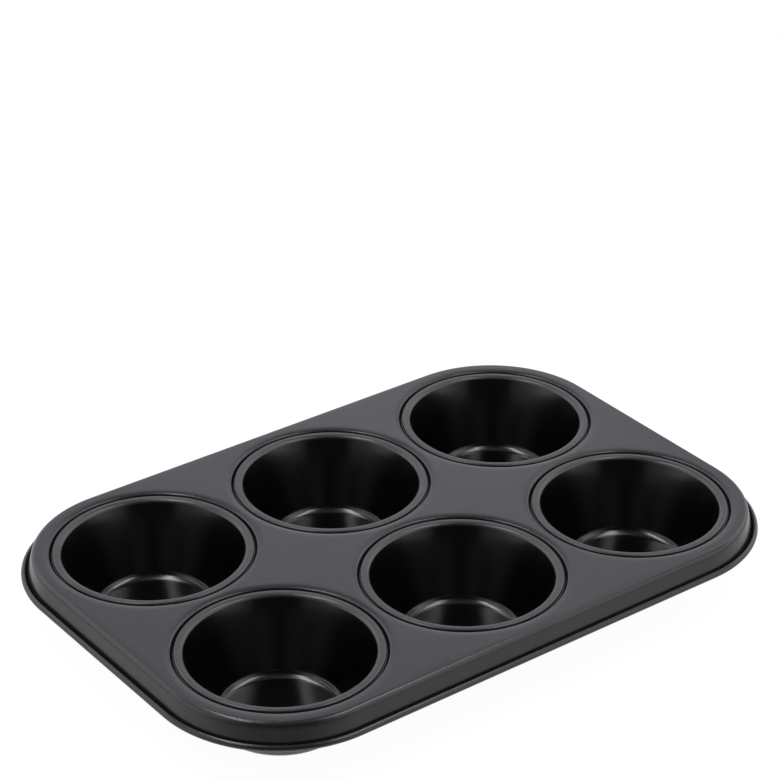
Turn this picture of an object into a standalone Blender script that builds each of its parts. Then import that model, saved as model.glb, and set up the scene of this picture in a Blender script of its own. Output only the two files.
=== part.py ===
"""A six-cup muffin pan, built as it is made: one pressed sheet, six drawn cups and a wire.

The tray is a flat deck with a dished, collared hole for each cup, a rounded shoulder, a sloping
skirt, and an edge curled outwards round a steel wire. Each cup is drawn by itself. Its lip is
turned over the hole's standing collar, which locks the two sheets and leaves the narrow dark
seam round every mouth. Sizes are in metres and +Z is up. The origin is on the surface that the
pan stands on, below the middle of the deck.
"""

import math

import bmesh
import bpy
from mathutils import Vector

# Layout: the rows run from front to back (-Y to +Y), and the columns from left to right
ROW_NAMES = ("front", "back")
COLUMN_NAMES = ("left", "middle", "right")
HEIGHT = 0.0300
WEB = 0.0006  # flat strip of deck left between the dishes of two neighbouring cups

# Sheets, and the clearance between one piece and the next
TRAY_SHEET = 0.0006
CUP_SHEET = 0.0005
FIT_GAP = 0.0003

# Cup, inside faces, with radii from its own axis
MOUTH_RADIUS = 0.0344
LIP_RADIUS = 0.0018
RING_WIDTH = 0.0036
HEM_RADIUS = 0.0007
HEM_DEPTH = 0.0015
FOOT_RADIUS = 0.0220
FOOT_FILLET = 0.0040

# Tray, top faces
SEAM_WIDTH = 0.0010
CREST_RADIUS = 0.0009
DISH_DEPTH = 0.0002
DISH_WIDTH = 0.0021
EDGE_MARGIN = 0.0049
SHOULDER_RADIUS = 0.0021

# Wired rim: the bead is the curled edge with its wire, pressed a little flat
BEAD_DROP = 0.0081
BEAD_REACH = 0.0025
BEAD_HALF_WIDTH = 0.00145
BEAD_HALF_HEIGHT = 0.00125
CURL_END_DEGREES = 90.0

# Facets
CUP_SEGMENTS = 32
CORNER_SEGMENTS = 7
HEM_STEPS = 1
LIP_STEPS = 2
FILLET_STEPS = 3
CREST_STEPS = 1
TROUGH_STEPS = 3
SHOULDER_STEPS = 3
CURL_STEPS = 6
WIRE_BEVEL_RESOLUTION = 1
SMOOTH_ANGLE_DEGREES = 50.0

# Radii from a cup's axis that more than one piece uses
RING_RADIUS = MOUTH_RADIUS + RING_WIDTH
DISH_RADIUS = RING_RADIUS + SEAM_WIDTH + DISH_WIDTH
CUP_PITCH = 2 * DISH_RADIUS + WEB
EDGE_RADIUS = DISH_RADIUS + EDGE_MARGIN
BEAD_CENTRE_RADIUS = EDGE_RADIUS + BEAD_REACH
BEAD_CENTRE_Z = HEIGHT - BEAD_DROP
WIRE_RADIUS = BEAD_HALF_HEIGHT - TRAY_SHEET - FIT_GAP

# Middle of the tray's sheet at the deck's top, and of the cup's turned-down lip
TRAY_MID_Z = HEIGHT - TRAY_SHEET / 2
HEM_MID_RADIUS = RING_RADIUS - CUP_SHEET / 2
HEM_END_Z = HEIGHT - HEM_DEPTH


def clear_scene():
    for obj in list(bpy.data.objects):
        bpy.data.objects.remove(obj, do_unlink=True)


def coating(name, colour, roughness, metallic):
    material = bpy.data.materials.new(name)
    material.use_nodes = True
    shader = material.node_tree.nodes["Principled BSDF"]
    shader.inputs["Base Color"].default_value = (*colour, 1.0)
    shader.inputs["Roughness"].default_value = roughness
    shader.inputs["Metallic"].default_value = metallic
    return material


def add_object(name, data, material):
    obj = bpy.data.objects.new(name, data)
    bpy.context.scene.collection.objects.link(obj)
    if material.name not in data.materials:
        data.materials.append(material)
    return obj


def arc(centre, radius, start, end, steps):
    """(radius, z) points along an arc in the section plane. Angles are in degrees from +r."""
    points = []
    for step in range(steps + 1):
        angle = math.radians(start + (end - start) * step / steps)
        points.append((centre[0] + radius * math.cos(angle), centre[1] + radius * math.sin(angle)))
    return points


def cup_centres():
    """Plan position of each cup, by name."""
    centres = {}
    for row, row_name in enumerate(ROW_NAMES):
        for column, column_name in enumerate(COLUMN_NAMES):
            x = (column - (len(COLUMN_NAMES) - 1) / 2) * CUP_PITCH
            y = (row - (len(ROW_NAMES) - 1) / 2) * CUP_PITCH
            centres[f"cup_{row_name}_{column_name}"] = Vector((x, y, 0.0))
    return centres


def straight_lean(upper, lower, radii):
    """Lean from the vertical, in degrees, of a straight sheet between two bends.

    The sheet touches the upper bend's arc on one side and the lower bend's arc on the other. The
    centres of the arcs are given, and the sum of their radii.
    """
    across = abs(upper[0] - lower[0])
    up = upper[1] - lower[1]
    return math.degrees(math.atan2(across, up) - math.asin(radii / math.hypot(across, up)))


def cup_profile():
    """Middle of the cup's sheet, from the hem's free end over the lip and down to the axis."""
    half = CUP_SHEET / 2
    hem_centre = (RING_RADIUS - HEM_RADIUS, HEIGHT - HEM_RADIUS)
    lip_centre = (MOUTH_RADIUS + LIP_RADIUS, HEIGHT - LIP_RADIUS)
    fillet_centre = (FOOT_RADIUS, CUP_SHEET + FOOT_FILLET)
    lip_mid = LIP_RADIUS - half
    fillet_mid = FOOT_FILLET + half
    lean = straight_lean(lip_centre, fillet_centre, lip_mid + fillet_mid)

    points = [(HEM_MID_RADIUS, HEM_END_Z)]
    points += arc(hem_centre, HEM_RADIUS - half, 0.0, 90.0, HEM_STEPS)
    points += arc(lip_centre, lip_mid, 90.0, 180.0 - lean, LIP_STEPS)
    points += arc(fillet_centre, fillet_mid, -lean, -90.0, FILLET_STEPS)
    points.append((0.0, half))
    return points


def cup_mesh():
    mesh = bpy.data.meshes.new("cup_section")
    points = cup_profile()
    edges = [(index, index + 1) for index in range(len(points) - 1)]
    mesh.from_pydata([(radius, 0.0, z) for radius, z in points], edges, [])
    return mesh


def add_thickness(obj, thickness):
    solidify = obj.modifiers.new("sheet", "SOLIDIFY")
    solidify.thickness = thickness
    solidify.offset = 0.0
    solidify.use_even_offset = True
    solidify.use_quality_normals = True


def build_cup(name, centre, mesh, material):
    """One drawn cup: the half section is turned round the cup's own axis and given its sheet."""
    cup = add_object(name, mesh, material)
    cup.location = centre
    screw = cup.modifiers.new("turn", "SCREW")
    screw.steps = CUP_SEGMENTS
    screw.render_steps = CUP_SEGMENTS
    screw.use_merge_vertices = True
    screw.merge_threshold = 0.00001
    screw.use_smooth_shade = True
    add_thickness(cup, CUP_SHEET)
    return cup


def ring_points(centre, radius, z):
    points = []
    for index in range(CUP_SEGMENTS):
        angle = math.tau * index / CUP_SEGMENTS
        points.append(centre + Vector((radius * math.cos(angle), radius * math.sin(angle), z)))
    return points


def outline_points(radius, z):
    """The deck's plan outline at this distance from the axes of the four corner cups."""
    reach_x = (len(COLUMN_NAMES) - 1) / 2 * CUP_PITCH
    reach_y = (len(ROW_NAMES) - 1) / 2 * CUP_PITCH
    corners = ((reach_x, reach_y), (-reach_x, reach_y), (-reach_x, -reach_y), (reach_x, -reach_y))
    points = []
    for quarter, (x, y) in enumerate(corners):
        for step in range(CORNER_SEGMENTS + 1):
            angle = (quarter + step / CORNER_SEGMENTS) * math.pi / 2
            points.append(Vector((x + radius * math.cos(angle), y + radius * math.sin(angle), z)))
    return points


def add_loop(bm, points):
    return [bm.verts.new(point) for point in points]


def close_loop(bm, verts):
    return [bm.edges.new((a, b)) for a, b in zip(verts, verts[1:] + verts[:1])]


def draw_sheet(bm, verts, profile, place):
    """Draws the sheet on from a loop of the deck, through the loops of the profile."""
    for radius, z in profile:
        drawn = add_loop(bm, place(radius, z))
        for index in range(len(verts)):
            a, b = verts[index - 1], verts[index]
            bm.faces.new((a, b, drawn[index], drawn[index - 1]))
        verts = drawn


def hole_profile():
    """Middle of the tray's sheet from the deck into the seam: crest, trough and standing collar.

    The cup's hem hangs in the trough. The seam's width is open on its outer side, and the fit gap
    keeps it off the collar.
    """
    half = TRAY_SHEET / 2
    outer = RING_RADIUS + SEAM_WIDTH + half
    inner = RING_RADIUS - CUP_SHEET - FIT_GAP - half
    crest_mid = CREST_RADIUS - half
    crest_centre = (outer + crest_mid, TRAY_MID_Z - DISH_DEPTH - crest_mid)
    trough_centre = ((outer + inner) / 2, HEM_END_Z)
    points = arc(crest_centre, crest_mid, 90.0, 180.0, CREST_STEPS)
    points += arc(trough_centre, (outer - inner) / 2, 0.0, -180.0, TROUGH_STEPS)[1:]
    points.append((inner, HEIGHT - CUP_SHEET - FIT_GAP))
    return points


def rim_profile():
    """Middle of the tray's sheet from the deck outwards: shoulder, skirt and wired curl."""
    half = TRAY_SHEET / 2
    shoulder_centre = (EDGE_RADIUS - SHOULDER_RADIUS, HEIGHT - SHOULDER_RADIUS)
    bead_centre = (BEAD_CENTRE_RADIUS, BEAD_CENTRE_Z)
    shoulder_mid = SHOULDER_RADIUS - half
    bead_mid = BEAD_HALF_WIDTH - half
    flatness = (BEAD_HALF_HEIGHT - half) / bead_mid
    lean = straight_lean(shoulder_centre, bead_centre, shoulder_mid + bead_mid)
    points = arc(shoulder_centre, shoulder_mid, 90.0, lean, SHOULDER_STEPS)[1:]
    curl = arc(bead_centre, bead_mid, 180.0 + lean, 360.0 + CURL_END_DEGREES, CURL_STEPS)
    points += [(radius, BEAD_CENTRE_Z + (z - BEAD_CENTRE_Z) * flatness) for radius, z in curl]
    return points


def tray_mesh(centres):
    bm = bmesh.new()
    edge = add_loop(bm, outline_points(EDGE_RADIUS - SHOULDER_RADIUS, TRAY_MID_Z))
    holes = [(centre, add_loop(bm, ring_points(centre, DISH_RADIUS, TRAY_MID_Z))) for centre in centres]
    deck_edges = close_loop(bm, edge)
    for centre, hole in holes:
        deck_edges += close_loop(bm, hole)
    bmesh.ops.triangle_fill(bm, use_beauty=True, edges=deck_edges, normal=Vector((0.0, 0.0, 1.0)))
    for centre, hole in holes:
        draw_sheet(bm, hole, hole_profile(), lambda radius, z, c=centre: ring_points(c, radius, z))
    draw_sheet(bm, edge, rim_profile(), outline_points)
    bmesh.ops.recalc_face_normals(bm, faces=bm.faces)
    mesh = bpy.data.meshes.new("tray_sheet")
    bm.to_mesh(mesh)
    bm.free()
    mesh.shade_smooth()
    mesh.set_sharp_from_angle(angle=math.radians(SMOOTH_ANGLE_DEGREES))
    return mesh


def build_tray(centres, material):
    tray = add_object("tray", tray_mesh(centres), material)
    add_thickness(tray, TRAY_SHEET)
    return tray


def build_wire(material):
    """The stiffening wire inside the curl, one closed loop round the pan."""
    curve = bpy.data.curves.new("rim_wire", "CURVE")
    curve.dimensions = "3D"
    curve.bevel_depth = WIRE_RADIUS
    curve.bevel_resolution = WIRE_BEVEL_RESOLUTION
    points = outline_points(BEAD_CENTRE_RADIUS, BEAD_CENTRE_Z)
    spline = curve.splines.new("POLY")
    spline.points.add(len(points) - 1)
    for slot, point in zip(spline.points, points):
        slot.co = (*point, 1.0)
    spline.use_cyclic_u = True
    return add_object("rim_wire", curve, material)


def build():
    clear_scene()
    tray_coating = coating("tray_coating", (0.016, 0.016, 0.018), 0.35, 0.0)
    cup_coating = coating("cup_coating", (0.006, 0.006, 0.006), 0.30, 0.0)
    wire_steel = coating("wire_steel", (0.06, 0.06, 0.06), 0.50, 1.0)
    centres = cup_centres()
    build_tray(list(centres.values()), tray_coating)
    section = cup_mesh()
    for name, centre in centres.items():
        build_cup(name, centre, section, cup_coating)
    build_wire(wire_steel)


build()
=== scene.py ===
import math

import bmesh
import bpy
from mathutils import Euler, Matrix, Vector


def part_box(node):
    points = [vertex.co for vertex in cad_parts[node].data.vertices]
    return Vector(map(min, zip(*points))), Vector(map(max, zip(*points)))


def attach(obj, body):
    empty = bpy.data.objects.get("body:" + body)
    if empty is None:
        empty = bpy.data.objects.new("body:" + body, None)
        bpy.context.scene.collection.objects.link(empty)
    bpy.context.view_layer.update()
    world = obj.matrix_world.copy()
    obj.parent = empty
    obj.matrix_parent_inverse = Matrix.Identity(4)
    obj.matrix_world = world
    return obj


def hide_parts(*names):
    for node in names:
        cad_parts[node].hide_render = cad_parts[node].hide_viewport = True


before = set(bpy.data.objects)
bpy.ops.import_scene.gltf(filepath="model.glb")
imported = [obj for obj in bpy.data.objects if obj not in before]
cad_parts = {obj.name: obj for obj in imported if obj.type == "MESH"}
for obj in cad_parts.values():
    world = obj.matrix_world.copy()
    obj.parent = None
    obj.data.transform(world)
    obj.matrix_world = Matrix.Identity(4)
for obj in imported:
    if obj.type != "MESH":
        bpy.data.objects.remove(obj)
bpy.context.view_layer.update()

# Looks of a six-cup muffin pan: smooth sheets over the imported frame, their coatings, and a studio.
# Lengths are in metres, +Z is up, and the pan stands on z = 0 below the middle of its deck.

# Sheets of the real pan
TRAY_SHEET = 0.0006
CUP_SHEET = 0.0005
FIT_GAP = 0.0003

# Cup, inside faces, with radii from its own axis. Its ring lies a little below the deck's top
MOUTH_RADIUS = 0.0344
LIP_RADIUS = 0.0018
HEM_RADIUS = 0.0007
HEM_DEPTH = 0.0015
RING_DROP = 0.0003
FOOT_RADIUS = 0.0220
FOOT_FILLET = 0.0040

# Tray, top faces
SEAM_WIDTH = 0.0010
CREST_RADIUS = 0.0009
DISH_DEPTH = 0.0002
DISH_WIDTH = 0.0024
SHOULDER_RADIUS = 0.0021
BEAD_DROP = 0.0081
BEAD_REACH = 0.0025
BEAD_HALF_WIDTH = 0.00145
CURL_END_DEGREES = 90.0

# Steps of the fine meshes
TURN_STEPS = 144
HEM_STEPS = 6
RING_STEPS = 3
LIP_STEPS = 12
WALL_STEPS = 6
FILLET_STEPS = 18
FLOOR_STEPS = 6
DISH_STEPS = 9
WEB_STEPS = 6
CREST_STEPS = 8
TROUGH_STEPS = 12
SHOULDER_STEPS = 8
CURL_STEPS = 24
WIRE_SIDES = 12
SMOOTH_ANGLE_DEGREES = 50.0

# Each cup has a field of the deck. Its rows are circles for this share of the way to the next
# field, and from there on they widen to the field's own edge, where the fields are welded
CIRCLE_SHARE = 0.96
WEB_GROWTH = 1.6
WELD_DISTANCE = 0.000002

# The coatings: colours, range of the roughness, strength of the sprayed grain, IOR, and how many
# times lighter the ring of a cup is than its inside. The cup's colours hold painted shade: its
# inside is painted that many times darker than the same coating on its ring
DECK_FINISH = {
    "dark": (0.011, 0.011, 0.013),
    "pale": (0.015, 0.015, 0.017),
    "roughness": (0.22, 0.28),
    "grain": 0.02,
    "ior": 1.5,
    "painted_shade_ratio": 1.0,
}
# The cup's colours are painted shade: darker inside the cup than the coating on its ring
CUP_FINISH = {
    "dark": (0.0006, 0.0006, 0.0006),
    "pale": (0.0012, 0.0012, 0.0012),
    "roughness": (0.17, 0.22),
    "grain": 0.015,
    "ior": 1.6,
    "painted_shade_ratio": 16.0,
}

# Below the ring's top the cup's painted shade sets in between these depths, and the ring's rougher
# coating fades out
RING_FADE_HIGH = 0.0006
RING_FADE_LOW = 0.0015
RING_ROUGHER = 0.12

# Noise of the coatings and the wire, as the size of its features and its detail
MOTTLE = (0.012, 4.0)
SPECKLE = (0.0009, 3.0)
PEEL = (0.0022, 2.0)
WIRE_STREAK = (0.0006, 3.0)
NOISE_SPAN = (0.3, 0.7)
GRAIN_DEPTH = 0.00005

# The wire's steel, its grey painted far darker than bare steel, as painted shade inside the curl
WIRE_DARK = 0.045
WIRE_PALE = 0.075
WIRE_ROUGHNESS = (0.4, 0.55)

# The camera, placed from the photograph by the ellipses of the six rings
CAMERA_PLACE = Vector((-0.53948, -0.70290, 0.58267))
CAMERA_AZIMUTH = -37.364
CAMERA_ELEVATION = 29.136
CAMERA_ROLL = 0.361
CAMERA_LENS = 126.01
CAMERA_SENSOR = 36.0
CAMERA_CLIP = 0.01

# The studio. A level of 1 shows as white, and a step of light is given as where it starts and
# ends, with its level at each. Up is 1 overhead, ahead and right are as the camera looks, and
# across is how far a direction goes to either side
WHITE = (1.0, 1.0, 1.0)

# The floor: seen by the camera, as paper under the light, shaded, and as the pan mirrors it, where
# it glows with painted shade toward the camera and to the right
FLOOR_RADIUS = 0.60
FLOOR_SIDES = 96
FLOOR_GAP = 0.00002
FLOOR_LEVEL = 0.96
FLOOR_PAPER = 0.7
FLOOR_SHADED = 0.10
FLOOR_SHADE_PAINTED_AHEAD = (-0.36, -0.16, 0.12, 0.92)
FLOOR_SHADE_PAINTED_RIGHT = (0.2, 0.45, 1.0, 0.65)

# The dark lane over to the camera
LANE_AZIMUTH = 6.0
LANE_TINT = (1.0, 0.99, 0.95)
LANE_AHEAD = (-0.7, 0.2, 0.04, 0.2)

# The side walls. High up toward the back wall they come closer to the middle
SIDE_WALL_LEVEL = 1.8
SIDE_WALL_ACROSS = (0.36, 0.62, 0.0, SIDE_WALL_LEVEL)
SIDE_WALL_AHEAD = (-0.85, -0.1, 0.25, 1.0)
CORNER_AHEAD = (0.2, 0.5, 0.0, 1.5)
CORNER_BELOW = (0.52, 0.62, 0.0, 1.0)
CORNER_ABOVE = (0.70, 0.80, 1.0, 0.0)

# Their feet and heads are dimmer, by shares that change along the wall
FOOT_UP = (0.0, 0.42)
FOOT_AHEAD = (-0.35, 0.0, 0.65, 0.4)
HEAD_UP = (0.38, 0.62)
HEAD_AHEAD = (-0.3, 0.05, 0.7, 1.0)

# A dark band runs along their top edge, which leans in, and ends at a slanted line
BAND_LEAN = 0.4
BAND_SLANT = 0.2
BAND_EDGE = (0.90, 0.93, 0.0, 1.0)
BAND_UP = (0.72, 0.77, 1.0, 0.0)
BAND_AHEAD = (-0.15, 0.0, 0.0, 1.0)
BAND_LEVEL = (0.0, 1.0, 1.0, 0.12)

# The back wall, brightest right of the middle
BACK_WALL_TINT = (1.0, 0.985, 1.09)
BACK_WALL_UP = (0.56, 0.72, 1.15, 0.15)
BACK_WALL_AHEAD = (0.1, 0.5, 0.0, 1.0)
BACK_WALL_MIDDLE = (-0.04, 0.08, 0.88, 1.06)
BACK_WALL_END = (0.165, 0.235, 1.0, 0.6)

# Strip lamps overhead: place to the right and ahead, splay in degrees, width and level
STRIP_HEIGHT = 0.65
STRIP_LENGTH = 0.58
STRIPS = {
    "strip_left": (-0.225, 0.02, -8.0, 0.09, 9.0),
    "strip_right": (0.260, 0.0, 8.0, 0.12, 5.5),
}


def cup_names():
    return sorted(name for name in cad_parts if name.startswith("cup_"))


def cup_centre(name):
    low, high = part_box(name)
    return Vector(((low.x + high.x) / 2, (low.y + high.y) / 2, 0.0))


CUP_CENTRES = {name: cup_centre(name) for name in cup_names()}
CUP_LOW, CUP_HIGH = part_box(cup_names()[0])
TRAY_LOW, TRAY_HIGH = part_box("tray")
HEIGHT = CUP_HIGH.z
RING_RADIUS = (CUP_HIGH.x - CUP_LOW.x) / 2
REACH_X = max(centre.x for centre in CUP_CENTRES.values())
REACH_Y = max(centre.y for centre in CUP_CENTRES.values())
HALF_PITCH = REACH_Y
BEAD_CENTRE_Z = HEIGHT - BEAD_DROP
BEAD_HALF_HEIGHT = BEAD_CENTRE_Z - TRAY_LOW.z
BEAD_CENTRE_RADIUS = TRAY_HIGH.x - REACH_X - BEAD_HALF_WIDTH
EDGE_RADIUS = BEAD_CENTRE_RADIUS - BEAD_REACH
WIRE_RADIUS = BEAD_HALF_HEIGHT - TRAY_SHEET - FIT_GAP
HEM_MID_RADIUS = RING_RADIUS - CUP_SHEET / 2
HEM_END_Z = HEIGHT - HEM_DEPTH
RING_TOP = HEIGHT - RING_DROP
TRAY_MID_Z = HEIGHT - TRAY_SHEET / 2

# The crest: the deck's bend down into the seam, which starts at the dish's own slope
CREST_MID = CREST_RADIUS - TRAY_SHEET / 2
CREST_TILT = math.atan(2 * DISH_DEPTH / DISH_WIDTH)
CREST_CENTRE = (
    RING_RADIUS + SEAM_WIDTH + CREST_RADIUS,
    TRAY_MID_Z - DISH_DEPTH - CREST_MID * math.cos(CREST_TILT),
)
CREST_START = CREST_CENTRE[0] - CREST_MID * math.sin(CREST_TILT)


def arc(centre, radius, start, end, steps):
    """(radius, z) points along an arc in the section plane. Angles are in degrees from +r."""
    points = []
    for step in range(steps + 1):
        angle = math.radians(start + (end - start) * step / steps)
        points.append((centre[0] + radius * math.cos(angle), centre[1] + radius * math.sin(angle)))
    return points


def between(first, last, steps):
    """Points strictly between two section points."""
    points = []
    for step in range(1, steps):
        share = step / steps
        points.append(tuple(a + (b - a) * share for a, b in zip(first, last)))
    return points


def straight_lean(upper, lower, radii):
    """Lean from the vertical, in degrees, of a straight sheet between two bends.

    The sheet touches the upper bend's arc on one side and the lower bend's arc on the other. The
    centres of the arcs are given, and the sum of their radii.
    """
    across = abs(upper[0] - lower[0])
    up = upper[1] - lower[1]
    return math.degrees(math.atan2(across, up) - math.asin(radii / math.hypot(across, up)))


def cup_profile():
    """Middle of the cup's sheet, from the hem's free end over the lip and down to the axis."""
    half = CUP_SHEET / 2
    hem_centre = (RING_RADIUS - HEM_RADIUS, RING_TOP - HEM_RADIUS)
    lip_centre = (MOUTH_RADIUS + LIP_RADIUS, RING_TOP - LIP_RADIUS)
    fillet_centre = (FOOT_RADIUS, CUP_SHEET + FOOT_FILLET)
    lip_mid = LIP_RADIUS - half
    fillet_mid = FOOT_FILLET + half
    lean = straight_lean(lip_centre, fillet_centre, lip_mid + fillet_mid)

    hem = arc(hem_centre, HEM_RADIUS - half, 0.0, 90.0, HEM_STEPS)
    lip = arc(lip_centre, lip_mid, 90.0, 180.0 - lean, LIP_STEPS)
    fillet = arc(fillet_centre, fillet_mid, -lean, -90.0, FILLET_STEPS)
    points = [(HEM_MID_RADIUS, HEM_END_Z)] + hem
    points += between(hem[-1], lip[0], RING_STEPS) + lip
    points += between(lip[-1], fillet[0], WALL_STEPS) + fillet
    points += between(fillet[-1], (0.0, half), FLOOR_STEPS)
    return points


def loop_points(centre, radius, z):
    points = []
    for index in range(TURN_STEPS):
        angle = math.tau * index / TURN_STEPS
        points.append(centre + Vector((radius * math.cos(angle), radius * math.sin(angle), z)))
    return points


def add_loop(bm, points):
    return [bm.verts.new(point) for point in points]


def bridge(bm, first, second):
    for index in range(len(first)):
        bm.faces.new((first[index - 1], first[index], second[index], second[index - 1]))


def finish_mesh(bm, name, material):
    """Turns the faces out, smooths them and makes the piece's object."""
    bmesh.ops.recalc_face_normals(bm, faces=bm.faces)
    mesh = bpy.data.meshes.new(name)
    bm.to_mesh(mesh)
    bm.free()
    mesh.materials.append(material)
    mesh.shade_smooth()
    mesh.set_sharp_from_angle(angle=math.radians(SMOOTH_ANGLE_DEGREES))
    piece = bpy.data.objects.new(name, mesh)
    bpy.context.scene.collection.objects.link(piece)
    return piece


def add_thickness(piece, thickness):
    solidify = piece.modifiers.new("sheet", "SOLIDIFY")
    solidify.thickness = thickness
    solidify.offset = 0.0
    solidify.use_even_offset = True
    solidify.use_quality_normals = True


def dress(piece, node):
    """The piece stands for a CAD node, whose part it hides, and rides on the pan."""
    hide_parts(node)
    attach(piece, "root")


def build_cup(node, centre, material):
    """One drawn cup, in place of its CAD node."""
    bm = bmesh.new()
    profile = cup_profile()
    loops = [add_loop(bm, loop_points(centre, radius, z)) for radius, z in profile]
    for first, second in zip(loops, loops[1:]):
        bridge(bm, first, second)
    axis = bm.verts.new(centre + Vector((0.0, 0.0, profile[-1][1])))
    for index in range(TURN_STEPS):
        bm.faces.new((loops[-1][index - 1], loops[-1][index], axis))
    piece = finish_mesh(bm, node + "_drawn", material)
    add_thickness(piece, CUP_SHEET)
    dress(piece, node)


def dish_drop(point):
    """How far the deck dips at this point, summed over the dishes of the cups."""
    drop = 0.0
    for centre in CUP_CENTRES.values():
        away = (Vector((point.x, point.y, 0.0)) - centre).length - CREST_START
        share = min(max(away / DISH_WIDTH, 0.0), 1.0)
        drop += DISH_DEPTH * (1.0 - share) ** 2
    return drop


def deck_point(x, y):
    point = Vector((x, y, 0.0))
    point.z = TRAY_MID_Z - dish_drop(point)
    return point


def cell_edge(centre, angle):
    """Where the ray from a cup's axis leaves the cup's own field of the deck, seen from that axis.

    A field reaches half way to each neighbour, and to the deck's edge where there is none. The
    four outer corners of the deck are arcs round the corner cups' axes.
    """
    outer = EDGE_RADIUS - SHOULDER_RADIUS
    x, y = math.cos(angle), math.sin(angle)
    outside_x = abs(centre.x) > HALF_PITCH and x * centre.x > 0.0
    outside_y = y * centre.y > 0.0
    if outside_x and outside_y:
        return Vector((x * outer, y * outer, 0.0))
    scale = 1.0 / max(abs(x), abs(y))
    half_x = outer if outside_x else HALF_PITCH
    half_y = outer if outside_y else HALF_PITCH
    return Vector((x * scale * half_x, y * scale * half_y, 0.0))


def build_deck_field(bm, centre):
    """The deck round one cup, from the crest of its seam to the field's edge. Returns the crest."""
    reach = (HALF_PITCH - CREST_START) * CIRCLE_SHARE
    rows = []
    for step in range(DISH_STEPS + 1):
        row = []
        for point in loop_points(centre, CREST_START + reach * step / DISH_STEPS, 0.0):
            row.append(bm.verts.new(deck_point(point.x, point.y)))
        rows.append(row)
    start = CREST_START + reach
    for step in range(1, WEB_STEPS + 1):
        row = []
        share = (step / WEB_STEPS) ** WEB_GROWTH
        for index in range(TURN_STEPS):
            angle = math.tau * index / TURN_STEPS
            inner = Vector((start * math.cos(angle), start * math.sin(angle), 0.0))
            point = centre + inner.lerp(cell_edge(centre, angle), share)
            row.append(bm.verts.new(deck_point(point.x, point.y)))
        rows.append(row)
    for first, second in zip(rows, rows[1:]):
        bridge(bm, first, second)
    return rows[0]


def hole_profile():
    """Middle of the tray's sheet from the dish on: crest, trough and collar under the cup's lip."""
    half = TRAY_SHEET / 2
    outer = CREST_CENTRE[0] - CREST_MID
    inner = RING_RADIUS - CUP_SHEET - FIT_GAP - half
    collar_top = RING_TOP - CUP_SHEET - FIT_GAP
    trough_centre = ((outer + inner) / 2, HEM_END_Z)
    points = arc(CREST_CENTRE, CREST_MID, 90.0 + math.degrees(CREST_TILT), 180.0, CREST_STEPS)[1:]
    points += arc(trough_centre, (outer - inner) / 2, 0.0, -180.0, TROUGH_STEPS)
    points.append((inner, collar_top))
    return points


def rim_profile():
    """Middle of the tray's sheet from the deck outwards: shoulder, skirt and wired curl."""
    half = TRAY_SHEET / 2
    shoulder_centre = (EDGE_RADIUS - SHOULDER_RADIUS, HEIGHT - SHOULDER_RADIUS)
    shoulder_mid = SHOULDER_RADIUS - half
    bead_centre = (BEAD_CENTRE_RADIUS, BEAD_CENTRE_Z)
    bead_mid = BEAD_HALF_WIDTH - half
    flatness = (BEAD_HALF_HEIGHT - half) / bead_mid
    lean = straight_lean(shoulder_centre, bead_centre, shoulder_mid + bead_mid)
    shoulder = arc(shoulder_centre, shoulder_mid, 90.0, lean, SHOULDER_STEPS)[1:]
    curl = arc(bead_centre, bead_mid, 180.0 + lean, 360.0 + CURL_END_DEGREES, CURL_STEPS)
    curl = [(radius, BEAD_CENTRE_Z + (z - BEAD_CENTRE_Z) * flatness) for radius, z in curl]
    return shoulder + between(shoulder[-1], curl[0], WALL_STEPS) + curl


def outward(point):
    """Unit vector out of the pan at a point of the deck's edge."""
    nearest = Vector((
        min(max(point.x, -REACH_X), REACH_X),
        min(max(point.y, -REACH_Y), REACH_Y),
        0.0,
    ))
    return (Vector((point.x, point.y, 0.0)) - nearest).normalized()


def edge_loop(bm):
    """The deck's outer vertices in order round the pan."""
    verts = [vert for edge in bm.edges if edge.is_boundary for vert in edge.verts]
    start = max(verts, key=lambda vert: (vert.co.x, vert.co.y))
    loop = [start]
    previous = None
    while True:
        vert = loop[-1]
        onward = [edge.other_vert(vert) for edge in vert.link_edges if edge.is_boundary]
        following = onward[0] if onward[0] != previous else onward[1]
        if following == start:
            return loop
        previous = vert
        loop.append(following)


def build_tray(material):
    """The pressed sheet. Returns the deck's outline, as points with their directions outwards."""
    bm = bmesh.new()
    crests = {name: build_deck_field(bm, centre) for name, centre in CUP_CENTRES.items()}
    for name, verts in crests.items():
        for radius, z in hole_profile():
            following = add_loop(bm, loop_points(CUP_CENTRES[name], radius, z))
            bridge(bm, verts, following)
            verts = following
    bmesh.ops.remove_doubles(bm, verts=bm.verts, dist=WELD_DISTANCE)
    verts = edge_loop(bm)
    outline = [(vert.co.copy(), outward(vert.co)) for vert in verts]
    for radius, z in rim_profile():
        offset = radius - (EDGE_RADIUS - SHOULDER_RADIUS)
        following = []
        for place, direction in outline:
            point = place + direction * offset
            following.append(bm.verts.new((point.x, point.y, z)))
        bridge(bm, verts, following)
        verts = following
    piece = finish_mesh(bm, "tray_pressed", material)
    add_thickness(piece, TRAY_SHEET)
    dress(piece, "tray")
    return outline


def build_wire(outline, material):
    """The stiffening wire in the curl, along the deck's own outline."""
    bm = bmesh.new()
    offset = BEAD_CENTRE_RADIUS - (EDGE_RADIUS - SHOULDER_RADIUS)
    rings = []
    for place, direction in outline:
        centre = Vector((place.x, place.y, BEAD_CENTRE_Z)) + direction * offset
        ring = []
        for index in range(WIRE_SIDES):
            angle = math.tau * index / WIRE_SIDES
            spoke = direction * math.cos(angle) + Vector((0.0, 0.0, math.sin(angle)))
            ring.append(bm.verts.new(centre + spoke * WIRE_RADIUS))
        rings.append(ring)
    for index in range(len(rings)):
        bridge(bm, rings[index - 1], rings[index])
    piece = finish_mesh(bm, "rim_wire_drawn", material)
    dress(piece, "rim_wire")


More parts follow.
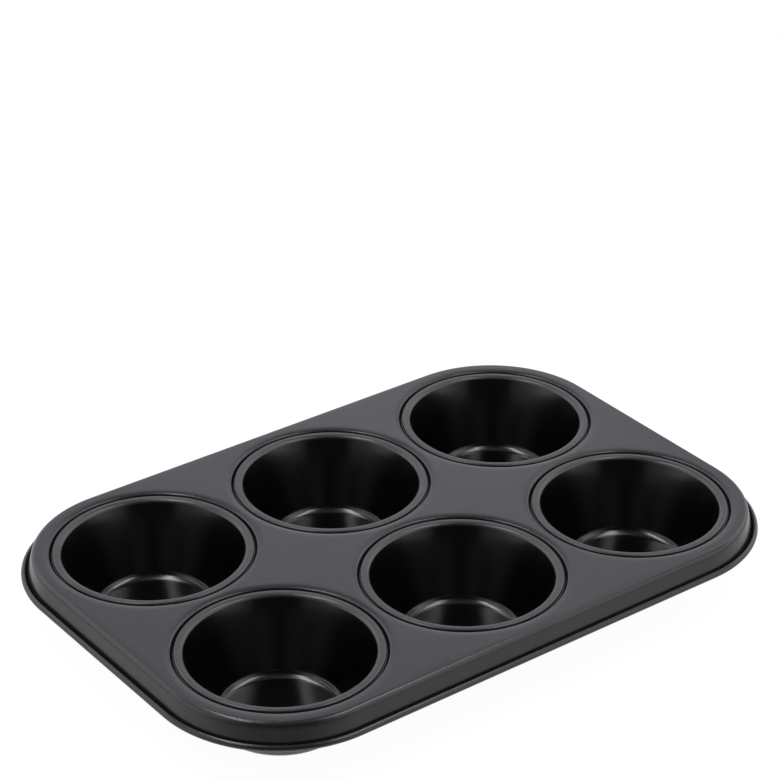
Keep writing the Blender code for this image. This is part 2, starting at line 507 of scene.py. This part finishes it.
class Nodes:
    """Short hand for one material's or world's node tree."""

    def __init__(self, owner):
        owner.use_nodes = True
        self.tree = owner.node_tree
        self.tree.nodes.clear()

    def add(self, kind, inputs=None, **settings):
        node = self.tree.nodes.new(kind)
        for name, value in settings.items():
            setattr(node, name, value)
        for name, value in (inputs or {}).items():
            socket = node.inputs[name]
            if isinstance(value, bpy.types.NodeSocket):
                self.tree.links.new(value, socket)
            else:
                socket.default_value = value
        return node


def noise(nodes, place, size, detail):
    """Noise whose features are about this many metres across."""
    inputs = {"Vector": place, "Scale": 1.0 / size, "Detail": detail}
    return nodes.add("ShaderNodeTexNoise", inputs).outputs["Fac"]


def scaled(nodes, value, low, high):
    """Noise stretched from its usual span to this range."""
    start, end = NOISE_SPAN
    inputs = {"Value": value, "From Min": start, "From Max": end, "To Min": low, "To Max": high}
    return nodes.add("ShaderNodeMapRange", inputs, clamp=True).outputs["Result"]


def ramp(nodes, value, start, end, low, high):
    """A smooth step from low at start to high at end."""
    inputs = {"Value": value, "From Min": start, "From Max": end, "To Min": low, "To Max": high}
    step = nodes.add("ShaderNodeMapRange", inputs, interpolation_type="SMOOTHSTEP")
    return step.outputs["Result"]


def combine(nodes, operation, first, second):
    return nodes.add("ShaderNodeMath", {0: first, 1: second}, operation=operation).outputs[0]


def product(nodes, *factors):
    """All of these multiplied."""
    total = factors[0]
    for factor in factors[1:]:
        total = combine(nodes, "MULTIPLY", total, factor)
    return total


def along(nodes, place, direction):
    """How far a place, or a direction of the sky, goes along this direction."""
    inputs = {0: place, 1: direction}
    return nodes.add("ShaderNodeVectorMath", inputs, operation="DOT_PRODUCT").outputs["Value"]


def tinted(nodes, colour, level):
    """This colour at this level."""
    inputs = {0: colour, "Scale": level}
    return nodes.add("ShaderNodeVectorMath", inputs, operation="SCALE").outputs["Vector"]


def brighter(nodes, first, second):
    inputs = {0: first, 1: second}
    return nodes.add("ShaderNodeVectorMath", inputs, operation="MAXIMUM").outputs["Vector"]


def grey(level):
    return (level, level, level, 1.0)


def ring_above_painted_shade(nodes, place):
    """1 on a cup's ring and hem, falling to 0 just below its lip, where the painted shade of the
    cup's inside takes over.
    """
    height = nodes.add("ShaderNodeSeparateXYZ", {"Vector": place}).outputs["Z"]
    return ramp(nodes, height, RING_TOP - RING_FADE_LOW, RING_TOP - RING_FADE_HIGH, 0.0, 1.0)


def coating(name, dark, pale, roughness, grain, ior, painted_shade_ratio):
    """Baked-on non-stick coating: dark satin, faintly mottled, with a fine sprayed grain.

    Where the rings' ratio isn't 1, the rest is painted that many times darker than the rings, as
    painted shade inside the cup, and the rings are rougher.
    """
    material = bpy.data.materials.new(name)
    nodes = Nodes(material)
    place = nodes.add("ShaderNodeTexCoord").outputs["Object"]
    mottle = noise(nodes, place, *MOTTLE)
    speckle = noise(nodes, place, *SPECKLE)
    peel = noise(nodes, place, *PEEL)
    colour = nodes.add("ShaderNodeMix", {
        "Factor": scaled(nodes, mottle, 0.0, 1.0),
        "A": (*dark, 1.0),
        "B": (*pale, 1.0),
    }, data_type="RGBA").outputs["Result"]
    skin = scaled(nodes, speckle, *roughness)
    # The cup's inside is painted darker than its ring, as painted shade; the ring is also rougher
    if painted_shade_ratio != 1.0:
        share = ring_above_painted_shade(nodes, place)
        colour = tinted(nodes, colour, ramp(nodes, share, 0.0, 1.0, 1.0, painted_shade_ratio))
        skin = combine(nodes, "ADD", skin, product(nodes, share, RING_ROUGHER))
    bump = nodes.add("ShaderNodeBump", {
        "Strength": grain,
        "Distance": GRAIN_DEPTH,
        "Height": combine(nodes, "ADD", peel, speckle),
    })
    shader = nodes.add("ShaderNodeBsdfPrincipled", {
        "Base Color": colour,
        "Roughness": skin,
        "IOR": ior,
        "Normal": bump.outputs["Normal"],
    })
    nodes.add("ShaderNodeOutputMaterial", {"Surface": shader.outputs["BSDF"]})
    return material


def wire_steel():
    """Drawn steel wire, with fine lines along it and a dull grey skin painted dark, as the shade
    inside the curl.
    """
    material = bpy.data.materials.new("wire_steel")
    nodes = Nodes(material)
    place = nodes.add("ShaderNodeTexCoord").outputs["Object"]
    streak = noise(nodes, place, *WIRE_STREAK)
    colour = nodes.add("ShaderNodeMix", {
        "Factor": scaled(nodes, streak, 0.0, 1.0),
        "A": grey(WIRE_DARK),
        "B": grey(WIRE_PALE),
    }, data_type="RGBA")
    shader = nodes.add("ShaderNodeBsdfPrincipled", {
        "Base Color": colour.outputs["Result"],
        "Roughness": scaled(nodes, streak, *WIRE_ROUGHNESS),
        "Metallic": 1.0,
    })
    nodes.add("ShaderNodeOutputMaterial", {"Surface": shader.outputs["BSDF"]})
    return material


def any_ray(nodes, *names):
    """1 for rays of the named kinds, otherwise 0."""
    path = nodes.add("ShaderNodeLightPath")
    total = path.outputs[names[0]]
    for name in names[1:]:
        total = combine(nodes, "MAXIMUM", total, path.outputs[name])
    return total


def heading(azimuth):
    """Level unit vector at this azimuth from the camera's view, in degrees, left positive."""
    turn = math.radians(CAMERA_AZIMUTH + azimuth)
    return (-math.sin(turn), math.cos(turn), 0.0)


def add_floor():
    """A plain pale floor with faint soft shadows. In reflections it glows, with painted shade toward
    the camera and, less, to the right.

    It is clear from below, so that the underside of the pan can be looked at.
    """
    bm = bmesh.new()
    bmesh.ops.create_circle(bm, cap_ends=True, segments=FLOOR_SIDES, radius=FLOOR_RADIUS)
    mesh = bpy.data.meshes.new("floor")
    bm.to_mesh(mesh)
    bm.free()
    floor = bpy.data.objects.new("floor", mesh)
    floor.location.z = -FLOOR_GAP
    bpy.context.scene.collection.objects.link(floor)
    material = bpy.data.materials.new("floor_paper")
    nodes = Nodes(material)
    paper = nodes.add("ShaderNodeBsdfDiffuse", {"Color": grey(FLOOR_PAPER)})
    shaded = nodes.add("ShaderNodeBsdfDiffuse", {"Color": grey(FLOOR_SHADED)})
    place = nodes.add("ShaderNodeTexCoord").outputs["Object"]
    # Painted shade: in reflections the floor's glow dims toward the camera and to the right
    painted_mirror_glow = product(
        nodes,
        ramp(nodes, along(nodes, place, heading(0.0)), *FLOOR_SHADE_PAINTED_AHEAD),
        ramp(nodes, along(nodes, place, heading(-90.0)), *FLOOR_SHADE_PAINTED_RIGHT),
    )
    looked_at = product(nodes, any_ray(nodes, "Is Camera Ray"), FLOOR_LEVEL)
    level = combine(nodes, "MAXIMUM", painted_mirror_glow, looked_at)
    glow = nodes.add("ShaderNodeEmission", {"Color": grey(1.0), "Strength": level})
    shown = nodes.add("ShaderNodeAddShader", {0: shaded.outputs[0], 1: glow.outputs[0]})
    seen = any_ray(nodes, "Is Camera Ray", "Is Glossy Ray", "Is Transmission Ray")
    top = nodes.add("ShaderNodeMixShader", {0: seen, 1: paper.outputs[0], 2: shown.outputs[0]})
    beneath = product(
        nodes,
        nodes.add("ShaderNodeNewGeometry").outputs["Backfacing"],
        any_ray(nodes, "Is Camera Ray"),
    )
    clear = nodes.add("ShaderNodeBsdfTransparent")
    sides = {0: beneath, 1: top.outputs[0], 2: clear.outputs[0]}
    one_sided = nodes.add("ShaderNodeMixShader", sides)
    nodes.add("ShaderNodeOutputMaterial", {"Surface": one_sided.outputs[0]})
    mesh.materials.append(material)


def add_world():
    """A photographer's tent: pale side walls and back wall, and a dark lane over to the camera."""
    world = bpy.data.worlds.new("studio")
    bpy.context.scene.world = world
    nodes = Nodes(world)
    place = nodes.add("ShaderNodeTexCoord").outputs["Generated"]
    up = along(nodes, place, (0.0, 0.0, 1.0))
    ahead = along(nodes, place, heading(0.0))
    right = along(nodes, place, heading(LANE_AZIMUTH - 90.0))
    across = combine(nodes, "ABSOLUTE", right, 0.0)

    lane = ramp(nodes, ahead, *LANE_AHEAD)
    corner = product(
        nodes,
        ramp(nodes, ahead, *CORNER_AHEAD),
        ramp(nodes, up, *CORNER_BELOW),
        ramp(nodes, up, *CORNER_ABOVE),
    )
    widened = product(nodes, across, combine(nodes, "ADD", corner, 1.0))
    edge = combine(nodes, "ADD", up, product(nodes, across, BAND_LEAN))
    slanted = combine(nodes, "SUBTRACT", ahead, product(nodes, right, BAND_SLANT))
    band = product(
        nodes,
        ramp(nodes, edge, *BAND_EDGE),
        ramp(nodes, up, *BAND_UP),
        ramp(nodes, slanted, *BAND_AHEAD),
    )
    walls = product(
        nodes,
        ramp(nodes, widened, *SIDE_WALL_ACROSS),
        ramp(nodes, up, *FOOT_UP, ramp(nodes, ahead, *FOOT_AHEAD), 1.0),
        ramp(nodes, up, *HEAD_UP, 1.0, ramp(nodes, ahead, *HEAD_AHEAD)),
        ramp(nodes, ahead, *SIDE_WALL_AHEAD),
        ramp(nodes, band, *BAND_LEVEL),
    )
    back_wall = product(
        nodes,
        ramp(nodes, up, *BACK_WALL_UP),
        ramp(nodes, ahead, *BACK_WALL_AHEAD),
        ramp(nodes, right, *BACK_WALL_MIDDLE),
        ramp(nodes, right, *BACK_WALL_END),
    )
    glow = brighter(nodes, tinted(nodes, LANE_TINT, lane), tinted(nodes, WHITE, walls))
    glow = brighter(nodes, glow, tinted(nodes, BACK_WALL_TINT, back_wall))
    glow = brighter(nodes, glow, tinted(nodes, WHITE, any_ray(nodes, "Is Camera Ray")))
    shown = nodes.add("ShaderNodeBackground", {"Color": glow, "Strength": 1.0})
    nodes.add("ShaderNodeOutputWorld", {"Surface": shown.outputs[0]})


def add_strip(name, right, ahead, splay, width, level):
    """A long soft lamp overhead, seen at this level."""
    lamp = bpy.data.lights.new(name, "AREA")
    lamp.shape = "RECTANGLE"
    lamp.size = width
    lamp.size_y = STRIP_LENGTH
    lamp.energy = level * math.pi * width * STRIP_LENGTH
    strip = bpy.data.objects.new(name, lamp)
    strip.location = (
        Vector(heading(-90.0)) * right
        + Vector(heading(0.0)) * ahead
        + Vector((0.0, 0.0, STRIP_HEIGHT))
    )
    strip.rotation_euler = (0.0, 0.0, math.radians(CAMERA_AZIMUTH + splay))
    bpy.context.scene.collection.objects.link(strip)


def add_camera():
    data = bpy.data.cameras.new("camera")
    data.lens = CAMERA_LENS
    data.sensor_width = CAMERA_SENSOR
    data.clip_start = CAMERA_CLIP
    camera = bpy.data.objects.new("camera", data)
    aim = Euler((math.radians(90.0 - CAMERA_ELEVATION), 0.0, math.radians(CAMERA_AZIMUTH)))
    roll = Matrix.Rotation(math.radians(CAMERA_ROLL), 3, "Z")
    camera.rotation_euler = (aim.to_matrix() @ roll).to_euler()
    camera.location = CAMERA_PLACE
    bpy.context.scene.collection.objects.link(camera)
    bpy.context.scene.camera = camera


def build_scene():
    bpy.context.scene.view_settings.view_transform = "Standard"
    add_camera()
    add_floor()
    add_world()
    for name, settings in STRIPS.items():
        add_strip(name, *settings)
    deck_coating = coating("deck_coating", **DECK_FINISH)
    cup_coating = coating("drawn_coating", **CUP_FINISH)
    outline = build_tray(deck_coating)
    build_wire(outline, wire_steel())
    for node, centre in CUP_CENTRES.items():
        build_cup(node, centre, cup_coating)


build_scene()
